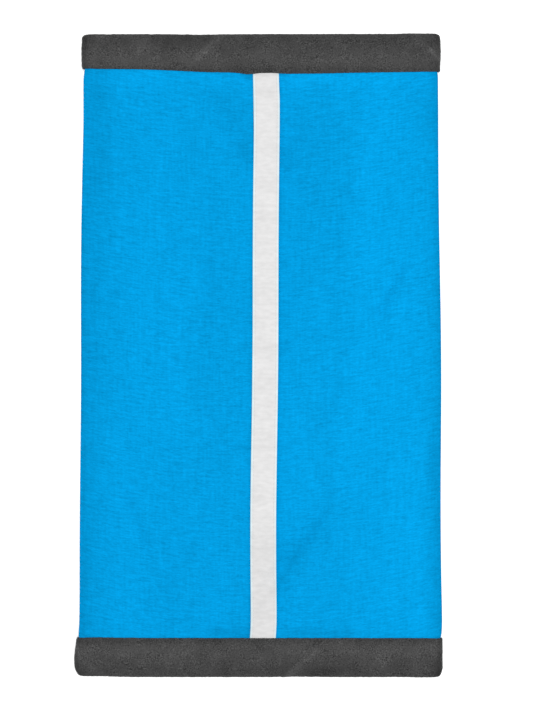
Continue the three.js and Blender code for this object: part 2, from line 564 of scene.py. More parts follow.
def mottle(tree, where, per_metre, detail=2.0, roughness=0.6):
    """A soft random value round a half, with so many patches for each metre."""
    inputs = {"Vector": where, "Scale": per_metre, "Detail": detail, "Roughness": roughness}
    return add(tree, "ShaderNodeTexNoise", inputs).outputs["Fac"]


def stretched(tree, where, scale):
    """Coordinates scaled differently along X, Y and Z."""
    return add(tree, "ShaderNodeMapping", {"Vector": where, "Scale": scale}).outputs["Vector"]


# %% Node groups
VECTOR, FLOAT = "NodeSocketVector", "NodeSocketFloat"


def new_group(name, inputs, outputs):
    """An empty node group with named sockets, and its input and output nodes."""
    tree = bpy.data.node_groups.new(name, "ShaderNodeTree")
    for label, kind in inputs:
        tree.interface.new_socket(label, in_out="INPUT", socket_type=kind)
    for label, kind in outputs:
        tree.interface.new_socket(label, in_out="OUTPUT", socket_type=kind)
    return tree, tree.nodes.new("NodeGroupInput"), tree.nodes.new("NodeGroupOutput")


def use(tree, group, inputs):
    """Place a shared effect in a material, and give its outputs."""
    return add(tree, "ShaderNodeGroup", inputs, node_tree=group).outputs


# %% [markdown]
# Dye never takes quite evenly. The fleece and the tape both show it as soft patches, the fleece in
# its pile and the tape along its threads, so it is one shared effect with a size and an amount.

# %% Shared effect: uneven dye
def make_uneven_dye():
    """A factor round 1 that wanders over the cloth."""
    tree, ins, outs = new_group(
        "Uneven dye",
        [("Vector", VECTOR), ("Patches per metre", FLOAT), ("Amount", FLOAT)],
        [("Factor", FLOAT)],
    )
    patches = mottle(tree, ins.outputs["Vector"], ins.outputs["Patches per metre"], detail=3.0)
    factor = about(tree, patches, ins.outputs["Amount"])
    tree.links.new(factor, outs.inputs["Factor"])
    return tree


uneven_dye = make_uneven_dye()
print("uneven dye nodes:", len(uneven_dye.nodes))

# %% [markdown]
# A knit has wales and courses, and a woven tape has warp and weft. From close by both are a grid of
# small bumps at a set pitch, in the cloth's own flat coordinates, so that the grid turns with the
# cloth round every fold. Two sine waves, one each way, multiply into just that.

# %% Shared effect: crossed threads
def make_crossed_threads():
    """The relief of threads that cross at a set pitch, from flat cloth coordinates."""
    tree, ins, outs = new_group(
        "Crossed threads",
        [("Cloth", VECTOR), ("Wales per metre", FLOAT), ("Courses per metre", FLOAT)],
        [("Height", FLOAT)],
    )
    flat = add(tree, "ShaderNodeSeparateXYZ", {"Vector": ins.outputs["Cloth"]})
    ridges = []
    for axis, pitch in (("X", "Wales per metre"), ("Y", "Courses per metre")):
        turns = calc(tree, "MULTIPLY", flat.outputs[axis], ins.outputs[pitch])
        turns = calc(tree, "MULTIPLY", turns, 2 * math.pi)
        ridges.append(calc(tree, "SINE", turns))
    height = calc(tree, "MULTIPLY", ridges[0], ridges[1])
    tree.links.new(calc(tree, "MULTIPLY", height, 0.5), outs.inputs["Height"])
    return tree


crossed_threads = make_crossed_threads()
print("crossed threads nodes:", len(crossed_threads.nodes))

# %% [markdown]
# The painted light and shade, and random tone, that each vertex got reaches the colour through one
# small group, which the jersey, the fleece and the tape all use.

# %% Shared effect: painted light and shade
def make_light_and_shade_group():
    """Makes a factor paler or darker by the painted light and shade on each vertex."""
    tree, ins, outs = new_group("Painted light and tone", [("Factor", FLOAT)], [("Factor", FLOAT)])
    painted_light_and_tone = add(tree, "ShaderNodeAttribute", attribute_name="painted_light_and_tone").outputs["Fac"]
    factor = ins.outputs["Factor"]
    tree.links.new(calc(tree, "MULTIPLY_ADD", factor, painted_light_and_tone, factor), outs.inputs["Factor"])
    return tree


painted_light_group = make_light_and_shade_group()
print("brushed nap nodes:", len(painted_light_group.nodes))


# %% A material with one shader
def shade(name, build):
    """A new material with one Principled shader, filled in by the build function."""
    material = bpy.data.materials.new(name)
    material.use_nodes = True
    tree = material.node_tree
    build(tree, tree.nodes["Principled BSDF"])
    print(name, "nodes:", len(tree.nodes))
    return material


def colour_by(tree, shader, colour, factor):
    """Give the shader its base colour, made paler or darker by a factor."""
    tinted = add(tree, "ShaderNodeVectorMath", {0: colour, 1: factor}, operation="MULTIPLY")
    tree.links.new(tinted.outputs["Vector"], shader.inputs["Base Color"])


def relief_by(tree, shader, height, strength, distance):
    """Give the shader a fine relief from a height."""
    inputs = {"Height": height, "Strength": strength, "Distance": distance}
    bump = add(tree, "ShaderNodeBump", inputs)
    tree.links.new(bump.outputs["Normal"], shader.inputs["Normal"])


def set_gloss(shader, roughness, gloss):
    """Set how rough and how glossy the whole surface is."""
    shader.inputs["Roughness"].default_value = roughness
    shader.inputs["Specular IOR Level"].default_value = gloss


# %% [markdown]
# ## The shell's finish
#
# A brushed stretch jersey creeps into fine crosswise crimps. They are a millimetre or two apart,
# run for about a centimetre and sag in a shallow bow between the two side folds. With them come the
# finer grain of the knit, faint wales along the tube, wide soft bands, and thin dark hairlines.
#
# Each of these is the same noise, stretched: many patches for each metre one way and few the other
# make streaks. They sit on the object's own coordinates, because the crimps follow how the tube
# lies, while the knit's own bumps follow the cloth's flat coordinates.

# %% Blue jersey
BLUE = (0.0009, 0.255, 0.564)
CRIMP_BOW = 0.75                # per metre: how the rows of crimps climb towards the sides
STREAK_ROUGHNESS = 0.55
# Each is: streaks for each metre along X, Y and Z, their detail, and how strongly they show.
STREAKS = {
    "crimps": ((85, 560, 85), 2.0, 0.44),
    "grain": ((420, 1150, 420), 1.0, 0.44),
    "wales": ((520, 45, 520), 1.0, 0.20),
    "bands": ((40, 9, 40), 2.0, 0.13),
}
HAIRLINES = (55, 420, 55)
HAIRLINE_FINENESS = 22.0
HAIRLINE_SHADE = -0.08
KNIT = {"Wales per metre": 1400.0, "Courses per metre": 1100.0}
KNIT_IN_RELIEF = 0.15


def bowed_place(tree):
    """The object's coordinates, with every row across bowed towards the sides."""
    where = add(tree, "ShaderNodeTexCoord").outputs["Object"]
    spot = add(tree, "ShaderNodeSeparateXYZ", {"Vector": where}).outputs
    bow = calc(tree, "MULTIPLY", spot["X"], spot["X"])
    level = calc(tree, "SUBTRACT", spot["Y"], calc(tree, "MULTIPLY", bow, CRIMP_BOW))
    bowed = {"X": spot["X"], "Y": level, "Z": spot["Z"]}
    return add(tree, "ShaderNodeCombineXYZ", bowed).outputs["Vector"]


def hairlines(tree, place):
    """1 on thin lines where a stretched noise crosses its middle value, 0 elsewhere."""
    streaked = stretched(tree, place, HAIRLINES)
    noisy = mottle(tree, streaked, per_metre=1.0, detail=1.0, roughness=STREAK_ROUGHNESS)
    away = calc(tree, "ABSOLUTE", calc(tree, "SUBTRACT", noisy, 0.5))
    near = calc(tree, "SUBTRACT", 1.0, calc(tree, "MULTIPLY", away, HAIRLINE_FINENESS))
    return calc(tree, "MAXIMUM", near, 0.0)


def blue_jersey(tree, shader):
    """Crimps, grain, wales, bands and painted light in the colour, crimps and knit in the relief.
    """
    place = bowed_place(tree)
    factor = calc(tree, "MULTIPLY_ADD", hairlines(tree, place), HAIRLINE_SHADE, 1.0)
    shown = {}
    for name, (per_metre, detail, amount) in STREAKS.items():
        streaked = stretched(tree, place, per_metre)
        shown[name] = mottle(tree, streaked, 1.0, detail, STREAK_ROUGHNESS)
        factor = about(tree, shown[name], amount, factor)
    factor = use(tree, painted_light_group, {"Factor": factor})["Factor"]
    colour_by(tree, shader, BLUE, factor)

    cloth = add(tree, "ShaderNodeUVMap", uv_map="cloth").outputs["UV"]
    knit = use(tree, crossed_threads, {"Cloth": cloth, **KNIT})["Height"]
    height = calc(tree, "MULTIPLY_ADD", knit, KNIT_IN_RELIEF, shown["crimps"])
    relief_by(tree, shader, height, strength=0.5, distance=0.6 * MM)
    set_gloss(shader, roughness=0.95, gloss=0.0)


jersey_look = shade("jersey", blue_jersey)

# %% [markdown]
# The jersey's colour carries painted light and shade. The two sides get painted shade where the
# cloth starts to turn over, the left one with a thin painted highlight just before its edge, the
# narrow step beside the tape is in its shade, and the front gets broad soft bands of painted light
# and shade.

# %% The jersey's painted light and shade
# The same kind of list as the creases, but the last number is how much paler it is, in per cent.
# Each line is painted shade, or a painted highlight where that number is positive.
JERSEY_PAINTED_LIGHT = [
    ((-128, 222), (-127, 140), 13, -9),         # painted shade and a painted highlight along the left side
    ((-137, 222), (-139, 120), 3, 9),
    ((-134, 130), (-135, -215), 13, -7),
    ((-141, -60), (-141.5, -215), 1.8, 9),
    ((-137, -70), (-137.5, -215), 2.2, -5),
    ((138, 215), (141, -215), 7, -9),           # and painted shade along the right one
    ((133, -70), (136, -215), 7, -6),
    ((126, 212), (132, 170), 8, -4),
    ((-134, 216), (134, 214), 6, 5),            # the step below the upper cuff catches the light
    ((-80, 100), (-80, -40), 24, 3),
    ((-42, 110), (-42, -20), 10, -2),
    ((-24, 200), (-14, 158), 11, -6),
    ((28, 212), (68, 209), 11, 4),
    ((22, 218), (88, 219), 4, 3),
    ((38, 178), (46, 128), 18, -3),
    ((78, 190), (76, 60), 9, 3),
    ((100, 200), (110, -200), 30, 8),
    ((30, -20), (30, -100), 30, 2),
    ((70, -12), (66, -96), 13, 4),
    ((44, -132), (24, -158), 6, -7),            # painted shade by the long crease
    ((24, -158), (4, -190), 12, -5),
    ((-12, 162), (-10, 150), 5, -8),            # painted shade beside the tape
    ((20, 160), (22, 146), 5, -8),
    ((-14, 218), (-8, 217), 2.4, -24),
    ((17, 217), (20, 217), 1.8, -16),
    ((-18, -72), (-9, -72), 2.2, -14),
    ((14, -71), (20, -71), 2.2, -12),
    ((-13, 6), (-9, 6), 2, -10),
    ((16, 6), (20, 6), 2, -8),
    ((60, 184), (71, 120), 2.5, -4),            # thin lines of painted shade along folds
    ((62, 120), (59, -34), 2.5, -4),
    ((59, -34), (46, -97), 2.5, -4),
    ((-36, 150), (-38, 20), 3, -3),
    ((110, 68), (93, 34), 2, -6),
    ((-104, -106), (-88, -152), 2, -6),
    ((-34, -214), (-8, -216), 5, -13),          # painted shade above the lower cuff
    ((20, -215), (70, -215), 4, -11),
]
TAPE_STEP = (-17, 1.5 * MM)     # how much paler, in per cent, and how wide
# painted shade where the right side turns under
TURNED_UNDER_SHADE = (-10, 1.2 * MM)


def jersey_painted_shade(x, y, front):
    """Painted shade in the narrow step beside the tape, and where the right side turns under."""
    shade_of_step, run = TAPE_STEP
    step = shade_of_step * hump(np.abs(x - tape_line(y)) - tape_width / 2, 0, run)
    shade_of_turn, run = TURNED_UNDER_SHADE
    turned_under = shade_of_turn * hump(from_side(x, y), 0, run) * (x > 0)
    return (step + turned_under) * front


print("bands on the jersey:", len(JERSEY_PAINTED_LIGHT))

# %% [markdown]
# ## The shell
#
# One panel of jersey goes right round the tube, and its two edges meet under the tape. It could be
# two panels with side seams, but then a seam would show at each side, and here both sides are plain
# folds. The columns are closer together at those folds, where the cloth turns over in a few
# millimetres.

# %% Make the shell
SEAM_GAP = 0.5 * MM             # between the two edges of a butted seam
SHELL_COLUMNS = 262
SHELL_STEPS = (1.9 * MM, 4 * MM)                # outside and inside, along the tube
CLOSER_AT_FOLDS = 1.6

gap = SEAM_GAP / half_turn
shell_spread = gathered_spread(gap / 2, 2 - gap / 2, SHELL_COLUMNS, CLOSER_AT_FOLDS)
shell_section = tube_section(shell_inner, shell_outer, shell_end, *SHELL_STEPS)
shell_mesh = wrap("shell_cloth", shell_section, shell_spread, around_whole_tube(tape_line))
paint_light_and_tone(shell_mesh, JERSEY_PAINTED_LIGHT, jersey_painted_shade)
shell = new_object("shell_cloth", shell_mesh, ["shell_panel"], jersey_look)
print("the shell's panel is cut to, mm:", round(2 * half_turn / MM), "x", round(2 * shell_end / MM))

# %% [markdown]
# ## The fleece's finish
#
# Polar fleece is a knit whose loops were raised and sheared into a dense pile, and tumbling rolls
# the tips of that pile into small pebbles. They stand out clearly in some places and are rubbed
# flat in others, so the contrast of the pebbles wanders too. Pale tips are sharper than the pits
# between them, which a power curve gives. Strands of hair would cost hundreds of thousands of
# curves for a nap that is a millimetre deep, so it is a fine relief instead, with a trace of sheen.

# %% Charcoal fleece
CHARCOAL = (0.0498, 0.0498, 0.0498)
PEBBLES_PER_METRE = 1000.0
FIBRES_PER_METRE = 2200.0
FIBRES_IN_RELIEF = 0.3
RUBBED_PER_METRE = 130.0
RUBBED_FROM, RUBBED_TO = 0.35, 0.65
CONTRAST_RUBBED, CONTRAST_RAISED = 0.95, 2.95
DARKEST_PIT = 0.35
TIP_SHARPNESS = 1.4
FLEECE_PATCHES = {"Patches per metre": 60.0, "Amount": 0.3}


def pebble_contrast(tree, where):
    """How clearly the pebbles stand out: less where the pile is rubbed flat."""
    return add(tree, "ShaderNodeMapRange", {
        "Value": mottle(tree, where, RUBBED_PER_METRE, roughness=0.5),
        "From Min": RUBBED_FROM, "From Max": RUBBED_TO,
        "To Min": CONTRAST_RUBBED, "To Max": CONTRAST_RAISED,
    }).outputs["Result"]


def charcoal_fleece(tree, shader):
    """Pebbles, soft patches and painted light in the colour, pebbles and fibres in the relief."""
    where = add(tree, "ShaderNodeTexCoord").outputs["Object"]
    pebbles = mottle(tree, where, PEBBLES_PER_METRE)
    fibres = mottle(tree, where, FIBRES_PER_METRE)
    factor = about(tree, pebbles, pebble_contrast(tree, where))
    factor = calc(tree, "POWER", calc(tree, "MAXIMUM", factor, DARKEST_PIT), TIP_SHARPNESS)
    patches = use(tree, uneven_dye, {"Vector": where, **FLEECE_PATCHES})["Factor"]
    factor = calc(tree, "MULTIPLY", factor, patches)
    factor = use(tree, painted_light_group, {"Factor": factor})["Factor"]
    colour_by(tree, shader, CHARCOAL, factor)
    height = calc(tree, "MULTIPLY_ADD", fibres, FIBRES_IN_RELIEF, pebbles)
    relief_by(tree, shader, height, strength=0.6, distance=0.8 * MM)
    set_gloss(shader, roughness=1.0, gloss=0.05)
    shader.inputs["Sheen Weight"].default_value = 0.06
    shader.inputs["Sheen Roughness"].default_value = 0.6


fleece_look = shade("fleece", charcoal_fleece)

# %% [markdown]
# ## The lining
#
# The lining is the warm part: a fleece tube as wide as the shell, sewn into it at both ends, with
# its own seam down the back, away from the shell's. It is seen only through the two mouths, but it
# is what makes the body soft and thick. It is wrapped by the same rule as the shell, one layer
# further in, and its two edges meet at the back because its columns start and end half a turn from
# the front.

# %% Make the lining
LINING_COLUMNS = 230
LINING_STEPS = (2.4 * MM, 4 * MM)


def from_front_middle(along):
    """The lining's columns are counted from the middle of the front, all along the tube."""
    return 0


lining_spread = gathered_spread(-1 + gap / 2, 1 - gap / 2, LINING_COLUMNS, CLOSER_AT_FOLDS)
lining_section = tube_section(lining_inner, lining_outer, lining_end, *LINING_STEPS)
lining_place = around_whole_tube(from_front_middle)
lining_mesh = wrap("lining_cloth", lining_section, lining_spread, lining_place)
lining = new_object("lining_cloth", lining_mesh, ["fleece_lining"], fleece_look)
print("the lining is cut to, mm:", round(2 * half_turn / MM), "x", round(2 * lining_end / MM))

# %% [markdown]
# ## The cuffs
#
# A cuff is a band of fleece folded in two over the tube's end. Its outer leg covers the shell's raw
# edge, its inner leg carries on from the lining, and the fold is the mouth. A flattened ring would
# look alike from above, but a real band has a slot between its legs where the shell goes in, so its
# section is drawn with both legs, the round fold, and round edges.

# %% A cuff's section
CUFF_STEPS = (0.9 * MM, 2 * MM)     # round the section: where it shows, and between the legs
MOUTH_INSIDE = 1.5      # how many times coarser the inside of the mouth is than the outside
SLOT_FOLD = 4           # how many times finer the fold of the slot is than its straight sides


def cuff_section(fine, coarse):
    """The upper cuff's wall: a band folded in two, as (out, along) points."""
    leg = FLEECE / 2
    fold_out = (lining_inner + cuff_outer) / 2
    fold_radius = (cuff_outer - lining_inner) / 2
    slot = fold_radius - FLEECE
    fold_y = tube_end - fold_radius
    leg_y = cuff_edge + leg
    pi = math.pi
    return (
        arc((cuff_inner + leg, leg_y), leg, pi, 2 * pi, fine)
        + straight((cuff_outer, leg_y), (cuff_outer, fold_y), fine)
        + arc((fold_out, fold_y), fold_radius, 0, pi, fine)
        + straight((lining_inner, fold_y), (lining_inner, leg_y), fine * MOUTH_INSIDE)
        + arc((lining_inner + leg, leg_y), leg, pi, 2 * pi, fine)
        + straight((lining_outer, leg_y), (lining_outer, fold_y), coarse)
        + arc((fold_out, fold_y), slot, pi, 0, coarse / SLOT_FOLD)
        + straight((cuff_inner, fold_y), (cuff_inner, leg_y), coarse)
    )


print("points round a cuff's section:", len(cuff_section(*CUFF_STEPS)))

# %% [markdown]
# A cuff is fed under the needle by hand, so its sewn edge never runs quite straight, and neither
# does the folded mouth. Both lines are given as soft steps and bumps across the tube.

# %% How the edge and the mouth of a cuff stray
# In millimetres, for the upper cuff (1) and the lower one (-1): a step is (start, end, size) and a
# bump is (middle, spread, size), both along X. The edge strays towards the mouth, and the mouth
# stays short of the tube's end.
EDGE_OFFSET = {1: -0.6, -1: -1.1}
EDGE_STEPS = {1: [(8, 22, -0.45), (-35, -105, 2.6), (60, 130, 0.5)], -1: [(-80, -120, -0.4)]}
EDGE_BUMPS = {1: [(-98, 25, -0.4), (22, 45, -0.9), (-10, 7, -1.0)], -1: []}
MOUTH_OFFSET = {1: 0.25, -1: 0.0}
MOUTH_STEPS = {1: [(100, 125, -0.5)], -1: [(-90, -130, 0.5), (115, 130, -0.4)]}
MOUTH_BUMPS = {1: [(-42, 22, 0.2), (-60, 60, 0.2)], -1: [(24, 9, 0.3)]}


def stray(x, offset, steps, bumps):
    """How far a line strays at x, in metres."""
    total = offset
    for start, end, size in steps:
        total = total + size * ease(x, start * MM, end * MM)
    for middle, spread, size in bumps:
        total = total + size * hump(x, middle * MM, spread * MM)
    return total * MM


def edge_stray(x, end):
    """How far the front edge of a cuff strays towards the mouth."""
    return stray(x, EDGE_OFFSET[end], EDGE_STEPS[end], EDGE_BUMPS[end])


def mouth_stray(x, end):
    """How far the folded mouth stays short of the tube's end."""
    return stray(x, MOUTH_OFFSET[end], MOUTH_STEPS[end], MOUTH_BUMPS[end])


print("upper edge at x = -120, 0 and 120 mm strays, mm:",
      [round(float(edge_stray(x * MM, 1)) / MM, 2) for x in (-120, 0, 120)])

# %% [markdown]
# The band is laid by the tube's rule, with four small changes. Its edge and mouth stray on the
# front only. At the side folds the edge lies a little further out. Where the tape runs in under it,
# the front leg is lifted over the tape. And the seam pulls the front leg's edge down into a lip,
# less so at the side folds, where the band is already bent the other way.

# %% Laying a cuff
side_fold = half_turn / 2       # where the cloth turns under, round the tube from the middle
FRONT_ENDS = (4 * MM, 30 * MM)  # past the side fold: the edge and the mouth stray no further round
SIDE_TUCK = (1.3 * MM, 4 * MM, 15 * MM)     # how much further out the edge lies, where and how wide
TAPE_LIFT = 0.45 * MM
LIFT_SIDES = (1 * MM, 6 * MM)   # past the tape's edge, across: the lift fades between the two
LIFT_FADES = (0.4, 0.8)         # and along, as shares of the cuff's height from its edge
LIP = 1.3 * MM                  # how far the seam pulls the front leg's edge down
LIP_RUN = 3 * MM
LIP_FACE = 0.4                  # of the fleece's thickness, from inside, where the pull begins
SIDE_KEPT = {1: 0.7, -1: 0.1}   # how much less of a lip there is at the side folds
SIDE_KEPT_RUN = (1 * MM, 12 * MM)


def cuff_shift(x, end, depth_in, front_leg):
    """How far along the tube the band moves, for its straying edge and mouth."""
    on_front = 1 - ease(np.abs(x), side_fold + FRONT_ENDS[0], side_fold + FRONT_ENDS[1])
    tuck, past_fold, run = SIDE_TUCK
    tucked = tuck * hump(np.abs(x), side_fold + past_fold, run)
    shift = (on_front * edge_stray(x, end) + tucked) * (1 - depth_in) * front_leg
    return shift - on_front * mouth_stray(x, end) * depth_in


def cuff_lift(x, along, end, depth_in, front_leg):
    """How far the front leg is raised to clear the tape."""
    past_tape = np.abs(x - tape_line(end * along)) - tape_width / 2
    over_tape = 1 - ease(past_tape, *LIFT_SIDES)
    return TAPE_LIFT * over_tape * front_leg * (1 - ease(depth_in, *LIFT_FADES))


def cuff_lip(x, along, out, end):
    """How far the seam pulls the outer face of the front leg down at its edge."""
    outer_face = ease(out, cuff_inner + LIP_FACE * FLEECE, cuff_outer)
    past_fold, run = SIDE_KEPT_RUN
    kept = SIDE_KEPT[end] * hump(np.abs(x), side_fold + past_fold, run)
    return LIP * (1 - kept) * outer_face * np.exp(-(along - cuff_edge) / LIP_RUN)


def cuff_place(end):
    """The place of every point of the upper cuff (1) or the lower one (-1)."""
    def place(around, along, out):
        x = around * half_turn
        depth_in = np.clip((along - cuff_edge) / (tube_end - cuff_edge), 0, 1)
        front_leg = ease(out, lining_outer, cuff_inner)
        lift = cuff_lift(x, along, end, depth_in, front_leg)
        lip = cuff_lip(x, along, out, end)
        y = end * (along + cuff_shift(x, end, depth_in, front_leg))
        return lay(around * half_girth(y), y, out + lift - lip)
    return place


print("a cuff turns under at, mm round from its middle:", round(side_fold / MM, 1))

# %% [markdown]
# Pebbles show in a fleece's outline too, so the largest of them are real relief: the faces are
# raised and sunk along their normals by a smooth noise.

# %% Pebbled relief
NAP_HEIGHT = 0.22 * MM
NAP_SIZE = 2.0 * MM
LARGER, WEAKER = 2.3, 0.5       # a second set of pebbles is larger and less high


def ruffle(mesh, height, size):
    """Raise and sink a fleece's faces along their normals, in soft pebbles."""
    count = len(mesh.vertices)
    place, normal = np.empty(3 * count), np.empty(3 * count)
    mesh.vertices.foreach_get("co", place)
    mesh.vertices.foreach_get("normal", normal)
    place, normal = place.reshape(-1, 3), normal.reshape(-1, 3)
    pebble = np.array([
        noise.noise(Vector(p) / size) + WEAKER * noise.noise(Vector(p) / (LARGER * size))
        for p in place.tolist()
    ])
    place += normal * (height * pebble)[:, None]
    place[:, 2] = np.maximum(place[:, 2], 0)
    mesh.vertices.foreach_set("co", place.ravel())
    mesh.update()
    print(mesh.name, "ruffled by up to, mm:", round(height * np.abs(pebble).max() / MM, 2))


# %% [markdown]
# The fleece's colour gets painted shade over the rounded mouth, at the sewn edge and along the
# sides, and a painted highlight just behind that edge. Slanting folds and two pinched corners get
# painted highlights with painted shade on one side, and the whole of it is mottled at random.

# %% The fleece's painted light and shade
FLEECE_PAINTED_LIGHT = [
    ((-30, 249), (-49, 230), 2.5, 29),          # painted highlights, with painted shade beside them, on slanting folds
    ((-44, 251), (-72, 240), 8, -13),
    ((43, -229), (21, -248), 2.5, 29),
    ((62, -238), (34, -252), 8, -15),
    ((118, 244), (131, 237), 2.5, 12),          # and on folds in two corners
    ((131, 237.5), (138, 230), 1.2, 46),
    ((133, 228), (136, 225), 3.5, -16),
    ((-142.6, -226), (-140.6, -235.5), 1.0, 44),
    ((-138.5, -235), (-130, -243), 1.8, 12),
    ((-139, -222.5), (-130, -223), 2.5, -16),
    ((-94, 236), (-92, 240), 5, 18),
    ((92, -234), (95, -238), 5, 16),
    ((-140, 248), (-140, 222), 6, -12),
    ((140, -226), (140, -250), 8, -17),
]
# How much paler, in per cent. Runs are shares of the cuff's height from the mouth, or metres.
# painted shade at the mouth, at the sewn edge and the sides, a painted highlight behind the edge
MOUTH_SHADE, MOUTH_SHADE_RUN = -20, (0.05, 0.62)
EDGE_SHADE, EDGE_SHADE_RUN = -19, (0.84, 0.98)
PAINTED_HIGHLIGHT, HIGHLIGHT_AT, HIGHLIGHT_RUN = 8, 0.70, 0.12
WEAKER_HIGHLIGHT_MIDDLE = (0.9, 30 * MM)               # the painted highlight is weaker over the middle, where the tape runs in
SIDE_SHADE, SIDE_SHADE_RUN = -24, 2.0 * MM
OVERALL = -3
MOTTLES = [(12, 13 * MM, 1.7), (10, 6 * MM, 4.4)]               # amount, size and seed


def cuff_light_shade_and_mottle(x, y, front):
    """Painted shade at mouth, front edge and sides, a painted highlight behind that edge, and
    mottle.
    """
    inward = (tube_end - np.abs(y)) / (tube_end - cuff_edge)
    tone = MOUTH_SHADE * (1 - ease(inward, *MOUTH_SHADE_RUN)) + EDGE_SHADE * ease(inward, *EDGE_SHADE_RUN)
    share, run = WEAKER_HIGHLIGHT_MIDDLE
    tone = tone + PAINTED_HIGHLIGHT * hump(inward, HIGHLIGHT_AT, HIGHLIGHT_RUN) * (1 - share * hump(x, 0, run))
    tone = tone + SIDE_SHADE * hump(from_side(x, y), 0, SIDE_SHADE_RUN) + OVERALL
    return tone + sum(amount * waves(x, y, size, seed) for amount, size, seed in MOTTLES)


print("bands on the fleece:", len(FLEECE_PAINTED_LIGHT))

# %% Make both cuffs
CUFF_COLUMN = 0.95 * MM


def make_cuff(name, end, node):
    """Fold a band over one end of the tube: 1 is the upper end, -1 the lower one."""
    columns = round(2 * half_turn / CUFF_COLUMN)
    spread = np.linspace(-1 + gap / 2, 1 - gap / 2, columns + 1)
    section = cuff_section(*CUFF_STEPS)
    mesh = wrap(name, section, spread, cuff_place(end))
    ruffle(mesh, NAP_HEIGHT, NAP_SIZE)
    paint_light_and_tone(mesh, FLEECE_PAINTED_LIGHT, cuff_light_shade_and_mottle)
    cuff = new_object(name, mesh, [node], fleece_look)


make_cuff("upper_cuff_cloth", 1, "upper_cuff")
make_cuff("lower_cuff_cloth", -1, "lower_cuff")

# %% [markdown]
# ## The tape's finish
#
# Reflective tape is a plain woven ribbon with a coat of tiny glass beads. In soft light from all
# round it is a flat pale grey, and it is bright only for someone who stands by the lamp. So it gets
# no mirror: a pale, slightly uneven grey with slubs drawn out along its length, a fine weave, and a
# painted highlight along its two edges, tinted with the blue beside it.

# %% Reflective tape
TAPE_GREY = (0.565, 0.563, 0.564)
# a painted highlight along the tape's two edges, tinted with the jersey's blue
EDGE_HIGHLIGHT = (0.52, 0.645, 0.675)
EDGE_HIGHLIGHT_FROM, EDGE_HIGHLIGHT_TO = 1.6 * MM, 0.55 * MM                # in from the tape's edge
WEAVE = {"Wales per metre": 900.0, "Courses per metre": 900.0}
DRAWN_OUT = (0.4, 1, 1)
TAPE_PATCHES = {"Patches per metre": 70.0, "Amount": 0.2}
SLUBS_PER_METRE = 380.0
SLUB_AMOUNT = 0.25


def edge_highlight_colour(tree, cloth):
    """Grey in the middle of the tape, and a painted highlight, tinted blue, along its two edges."""
    across = add(tree, "ShaderNodeSeparateXYZ", {"Vector": cloth}).outputs["X"]
    edge = add(tree, "ShaderNodeMapRange", {
        "Value": calc(tree, "ABSOLUTE", across),
        "From Min": tape_width / 2 - EDGE_HIGHLIGHT_FROM, "From Max": tape_width / 2 - EDGE_HIGHLIGHT_TO,
    }).outputs["Result"]
    colours = {0: edge, 6: (*TAPE_GREY, 1), 7: (*EDGE_HIGHLIGHT, 1)}      # factor, A and B
    return add(tree, "ShaderNodeMix", colours, data_type="RGBA").outputs[2]


def reflective_tape(tree, shader):
    """Slubs, soft patches and painted light in the colour, the weave in the relief."""
    cloth = add(tree, "ShaderNodeUVMap", uv_map="cloth").outputs["UV"]
    drawn_out = stretched(tree, cloth, DRAWN_OUT)
    slubs = mottle(tree, drawn_out, SLUBS_PER_METRE, roughness=0.5)
    patches = use(tree, uneven_dye, {"Vector": drawn_out, **TAPE_PATCHES})["Factor"]
    factor = calc(tree, "MULTIPLY", about(tree, slubs, SLUB_AMOUNT), patches)
    factor = use(tree, painted_light_group, {"Factor": factor})["Factor"]
    colour_by(tree, shader, edge_highlight_colour(tree, cloth), factor)
    weave = use(tree, crossed_threads, {"Cloth": cloth, **WEAVE})["Height"]
    relief_by(tree, shader, weave, strength=0.3, distance=0.1 * MM)
    set_gloss(shader, roughness=0.6, gloss=0.2)


tape_look = shade("tape", reflective_tape)

# %% [markdown]
# ## The tape
#
# The tape covers the shell's seam, and its two ends go into the cuffs. It could be a plain strip
# that hovers over the shell, but a sewn ribbon follows every dip of the cloth under it and is drawn
# down along its two rows of stitches. So it is laid by the same rule, just outside the shell, with
# two shallow grooves.

# %% Make the tape
STITCH_INSET = 2 * MM           # from the tape's edge to its row of stitches
STITCH_DIP = 0.08 * MM
GROOVE = 0.6 * MM
TAPE_COLUMNS = 40
TAPE_STEPS = (1.1 * MM, 2.5 * MM)
TAPE_PAINTED_SHADE_AND_TONE = [
    ((-10, 217.4), (16, 217.4), 0.9, -9),       # painted shade where it is bent across
    ((-10, 204), (16, 204), 1.3, -4),
    ((-10, 6), (16, 6.5), 1.3, -3),
    ((-10, -72), (16, -71), 1.7, -4),
    ((-10, -141), (16, -140), 1.5, -4),
    ((-10, -203), (16, -203), 1.5, -4),
    ((2, -160), (2, -212), 26, -6),             # and darker towards its lower end
]
stitch_line = tape_width / 2 - STITCH_INSET


def tape_place(around, along, out):
    """The tape's middle is on its own line, and its two rows of stitches draw it down."""
    across = around * half_turn
    dip = STITCH_DIP * hump(np.abs(across), stitch_line, GROOVE)
    return lay(tape_line(along) + across, along, out - dip)


tape_section = tube_section(tape_under, tape_top, shell_end, *TAPE_STEPS)
tape_spread = np.linspace(-tape_width / 2, tape_width / 2, TAPE_COLUMNS + 1) / half_turn
tape_mesh = wrap("tape_cloth", tape_section, tape_spread, tape_place)
paint_light_and_tone(tape_mesh, TAPE_PAINTED_SHADE_AND_TONE)
tape = new_object("tape_cloth", tape_mesh, ["reflective_tape"], tape_look)
print("the tape is cut to, mm:", round(tape_width / MM), "x", round(2 * shell_end / MM))

